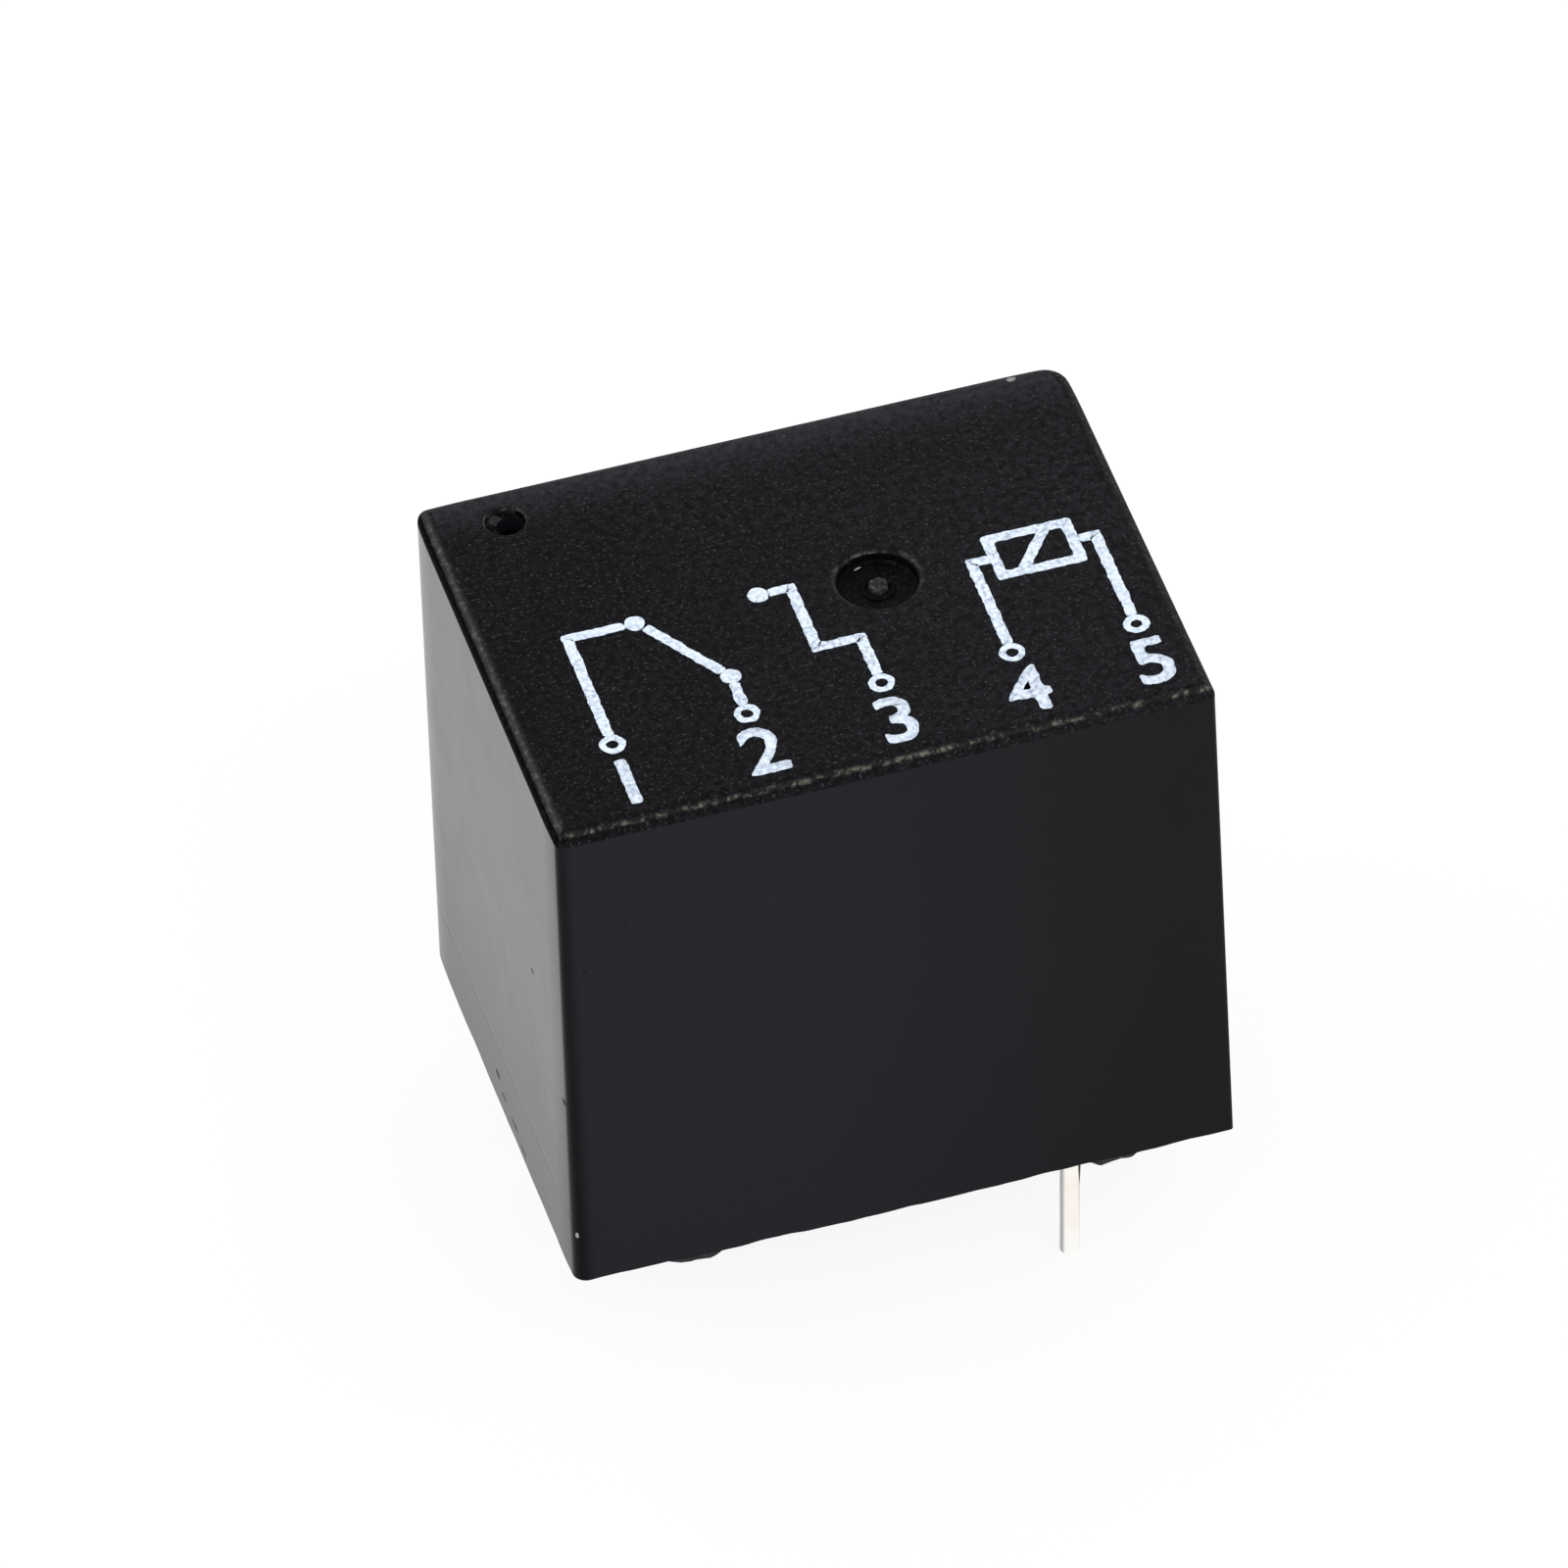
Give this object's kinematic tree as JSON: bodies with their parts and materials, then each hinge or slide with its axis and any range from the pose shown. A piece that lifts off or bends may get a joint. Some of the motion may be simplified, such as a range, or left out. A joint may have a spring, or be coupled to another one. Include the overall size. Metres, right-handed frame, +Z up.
{
  "type": "pcb power relay",
  "caption": "Board-mounting changeover power relay: closed black case, coil pins and contact pins below, and a clapper armature inside that swings a leaf contact.",
  "frame": {"origin": "middle of the case's outline on the board's surface, the plane that the feet stand on", "axes": "+Z up from the board to the case's top, +X along the case's length towards the coil pins and the common pin, +Y across its width"},
  "size_m": [0.022, 0.0164, 0.0243],
  "materials": {
    "case_plastic": "black, glossy sides and a spark-eroded matte top",
    "base_plastic": "black moulded",
    "resin": "poured black epoxy",
    "tinned_pin": "tinned copper alloy",
    "bobbin_plastic": "natural moulded",
    "enamelled_copper": "enamelled copper wire",
    "tape_film": "yellow polyester film",
    "plated_iron": "dull nickel-plated iron",
    "spring_bronze": "rolled copper alloy strip",
    "rivet_metal": "plated rivet",
    "contact_silver": "silver alloy"
  },
  "bodies": {
    "relay_body": {"case": "case_plastic", "base": "base_plastic", "sealing_resin": "resin", "coil_pin_front": "tinned_pin", "coil_pin_rear": "tinned_pin", "bobbin": "bobbin_plastic", "coil_winding": "enamelled_copper", "coil_tape": "tape_film", "coil_lead_front": "enamelled_copper", "coil_lead_rear": "enamelled_copper", "iron_core": "plated_iron", "yoke": "plated_iron", "yoke_rivets": "rivet_metal", "common_terminal": "tinned_pin", "normally_open_terminal": "tinned_pin", "normally_open_contact": "contact_silver", "normally_closed_terminal": "tinned_pin", "normally_closed_contact": "contact_silver"},
    "clapper": {"armature": "plated_iron", "contact_spring": "spring_bronze", "armature_rivets": "rivet_metal", "moving_contact": "contact_silver"}
  },
  "joints": [
    {"name": "armature_rock", "type": "hinge", "parent": "relay_body", "child": "clapper", "pos_m": [0.00765, 0, 0.0152], "axis": [0, -1, 0], "range_deg": [0, 2.6], "stiffness_Nm_per_rad": 0.02, "springref_deg": -6.88, "deforming": ["contact_spring"]}
  ]
}
